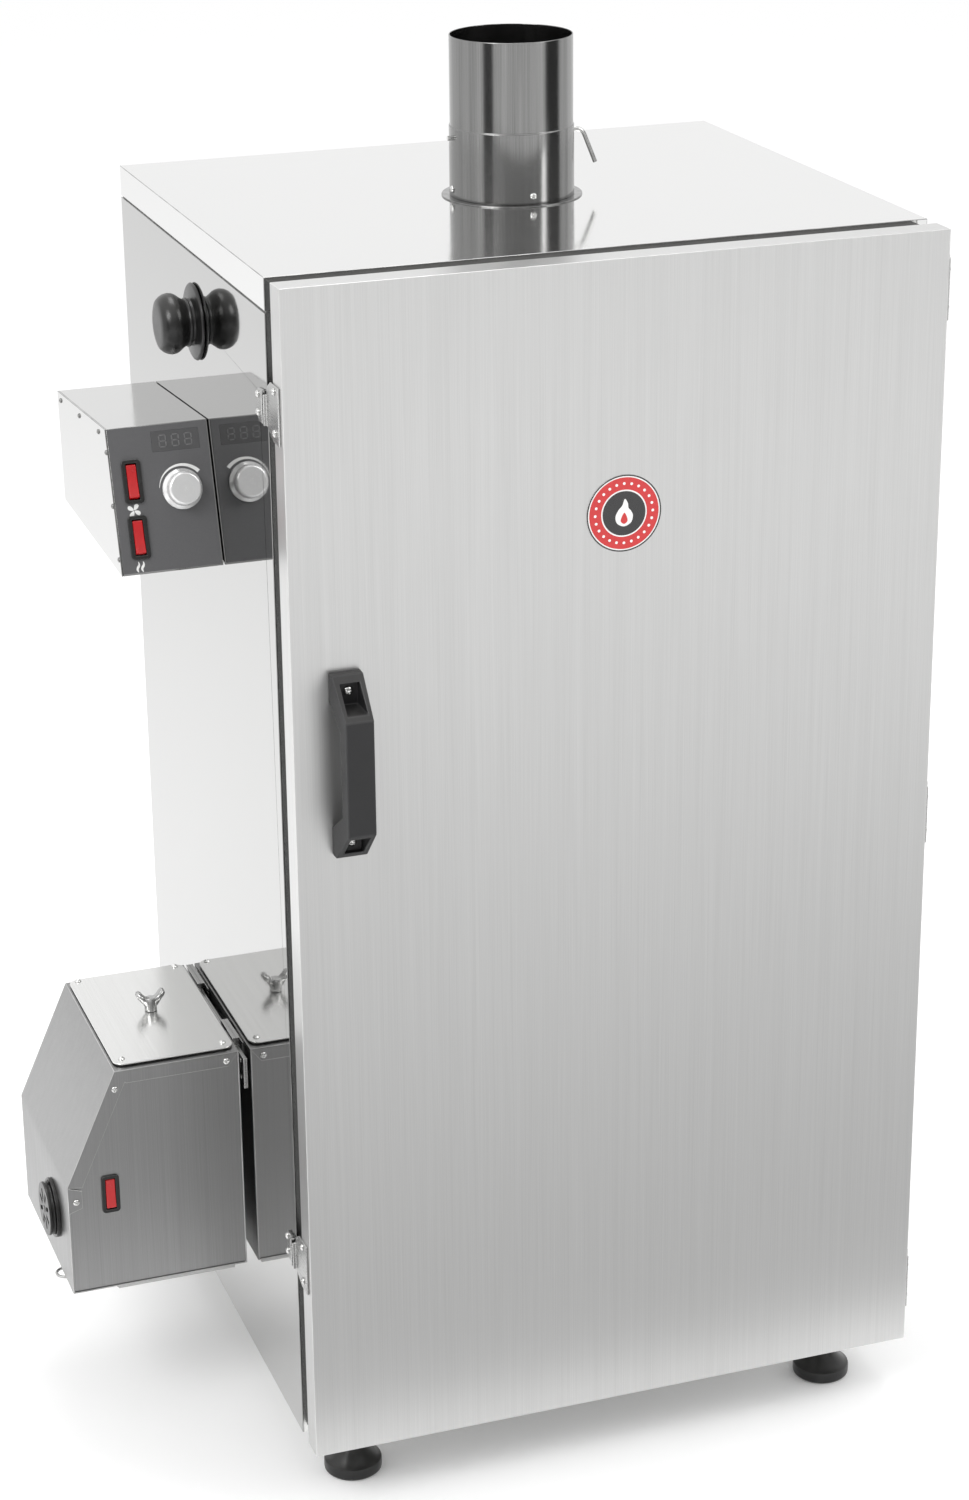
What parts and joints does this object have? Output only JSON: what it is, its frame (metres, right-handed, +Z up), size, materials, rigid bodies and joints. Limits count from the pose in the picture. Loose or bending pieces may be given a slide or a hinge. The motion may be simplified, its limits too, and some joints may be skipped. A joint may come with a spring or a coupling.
{
  "type": "electric cabinet smoker",
  "caption": "Insulated steel cabinet smoker with a hinged door, a roof flue with damper, and a side temperature controller and wood-chip smoke generator.",
  "frame": {"origin": "middle of the whole object's footprint, on the floor under the feet", "axes": "+Z up, -Y towards the person in front of the door, +X to that person's right, where the door's hinges are"},
  "size_m": [0.7158, 0.5262, 1.1764],
  "materials": {
    "polished_steel": "mirror polished",
    "brushed_steel": "vertical brush grain",
    "plain_steel": "mill finish",
    "mineral_wool": "fibrous",
    "gasket_rubber": "matt",
    "black_plastic": "matt",
    "gloss_black_plastic": "gloss",
    "red_plastic": "gloss",
    "turned_aluminium": "spun face",
    "grey_label": "satin",
    "display_glass": "dark smoked",
    "circuit_laminate": "matt",
    "badge_enamel": "gloss"
  },
  "bodies": {
    "cabinet": {"side_panel_left": "polished_steel", "side_panel_right": "brushed_steel", "back_panel": "plain_steel", "front_frame": "brushed_steel", "base_panel": "plain_steel", "top_cover": "polished_steel", "roof_frame": "plain_steel", "chamber_liner": "plain_steel", "wall_insulation": "mineral_wool", "rack_rails": "plain_steel", "smoke_racks": "plain_steel", "drip_tray": "plain_steel", "heating_elements": "plain_steel", "flue_collar": "brushed_steel", "flue_pipe": "brushed_steel", "wall_sleeves": "plain_steel", "cabinet_screws": "plain_steel", "controller_housing": "polished_steel", "controller_end_cover": "polished_steel", "control_panel": "grey_label", "display_window": "display_glass", "circuit_board": "circuit_laminate", "switch_bodies": "black_plastic", "power_inlets": "black_plastic", "temperature_probe": "plain_steel", "wall_brackets": "plain_steel", "generator_housing": "brushed_steel", "generator_end_plates": "brushed_steel", "chip_hopper": "plain_steel", "feed_chute": "plain_steel", "feed_motor": "black_plastic", "air_valve_seat": "gloss_black_plastic", "hinge_leaves_cabinet": "brushed_steel", "hinge_pins": "plain_steel", "catch_keepers": "brushed_steel"},
    "door": {"door_outer_panel": "brushed_steel", "door_inner_panel": "brushed_steel", "door_insulation": "mineral_wool", "door_gasket": "gasket_rubber", "door_handle": "black_plastic", "door_screws": "plain_steel", "door_badge": "badge_enamel", "hinge_leaves_door": "brushed_steel", "catch_plates": "brushed_steel"},
    "damper": {"damper_rod": "plain_steel", "damper_disc": "plain_steel"},
    "port_stopper": {"port_stopper": "gloss_black_plastic"},
    "knob": {"temperature_knob": "turned_aluminium"},
    "fan_rocker": {"fan_rocker": "red_plastic"},
    "heat_rocker": {"heat_rocker": "red_plastic"},
    "generator_rocker": {"generator_rocker": "red_plastic"},
    "hopper_lid": {"hopper_lid": "brushed_steel"},
    "wing_nut": {"wing_nut": "plain_steel"},
    "air_valve_dial": {"air_valve_dial": "gloss_black_plastic"},
    "ash_drawer": {"ash_drawer": "plain_steel"},
    "feed_rotor": {"feed_rotor": "plain_steel"},
    "foot_1": {"levelling_foot_1": "gloss_black_plastic"},
    "foot_2": {"levelling_foot_2": "gloss_black_plastic"},
    "foot_3": {"levelling_foot_3": "gloss_black_plastic"},
    "foot_4": {"levelling_foot_4": "gloss_black_plastic"}
  },
  "joints": [
    {"name": "door_hinge", "type": "hinge", "parent": "cabinet", "child": "door", "pos_m": [0.3544, -0.2111, 0.55295], "axis": [0, 0, 1], "range_deg": [0, 170]},
    {"name": "damper_turn", "type": "hinge", "parent": "cabinet", "child": "damper", "pos_m": [0.081, 0.0266, 1.0961], "axis": [1, 0, 0], "range_deg": [0, 90]},
    {"name": "temperature_knob_turn", "type": "hinge", "parent": "cabinet", "child": "knob", "pos_m": [-0.2168, -0.01941, 0.84214], "axis": [0, -0.9523, 0.3052], "range_deg": [-135, 135]},
    {"name": "fan_rocker_tilt", "type": "hinge", "parent": "cabinet", "child": "fan_rocker", "pos_m": [-0.2562, -0.0134, 0.8504], "axis": [1, 0, 0], "range_deg": [0, 9]},
    {"name": "heat_rocker_tilt", "type": "hinge", "parent": "cabinet", "child": "heat_rocker", "pos_m": [-0.2562, -0.02695, 0.80812], "axis": [1, 0, 0], "range_deg": [0, 9]},
    {"name": "generator_rocker_tilt", "type": "hinge", "parent": "cabinet", "child": "generator_rocker", "pos_m": [-0.3112, -0.0358, 0.2348], "axis": [1, 0, 0], "range_deg": [0, 9]},
    {"name": "port_stopper_pull", "type": "slide", "parent": "cabinet", "child": "port_stopper", "axis": [-1, 0, 0], "range_m": [0, 0.05]},
    {"name": "hopper_lid_lift", "type": "slide", "parent": "cabinet", "child": "hopper_lid", "axis": [0, 0, 1], "range_m": [0, 0.06]},
    {"name": "wing_nut_spin", "type": "hinge", "parent": "hopper_lid", "child": "wing_nut", "pos_m": [-0.2459, 0.0584, 0.3568], "axis": [0, 0, 1], "continuous": true},
    {"name": "air_valve_turn", "type": "hinge", "parent": "cabinet", "child": "air_valve_dial", "pos_m": [-0.3534, 0.0199, 0.1978], "axis": [1, 0, 0], "range_deg": [0, 22.5]},
    {"name": "ash_drawer_pull", "type": "slide", "parent": "cabinet", "child": "ash_drawer", "axis": [-1, 0, 0], "range_m": [0, 0.12]},
    {"name": "feed_rotor_spin", "type": "hinge", "parent": "cabinet", "child": "feed_rotor", "pos_m": [-0.2484, 0.0489, 0.2038], "axis": [0, 1, 0], "continuous": true},
    {"name": "foot_1_adjust", "type": "slide", "parent": "cabinet", "child": "foot_1", "axis": [0, 0, -1], "range_m": [0, 0.012]},
    {"name": "foot_2_adjust", "type": "slide", "parent": "cabinet", "child": "foot_2", "axis": [0, 0, -1], "range_m": [0, 0.012]},
    {"name": "foot_3_adjust", "type": "slide", "parent": "cabinet", "child": "foot_3", "axis": [0, 0, -1], "range_m": [0, 0.012]},
    {"name": "foot_4_adjust", "type": "slide", "parent": "cabinet", "child": "foot_4", "axis": [0, 0, -1], "range_m": [0, 0.012]}
  ]
}
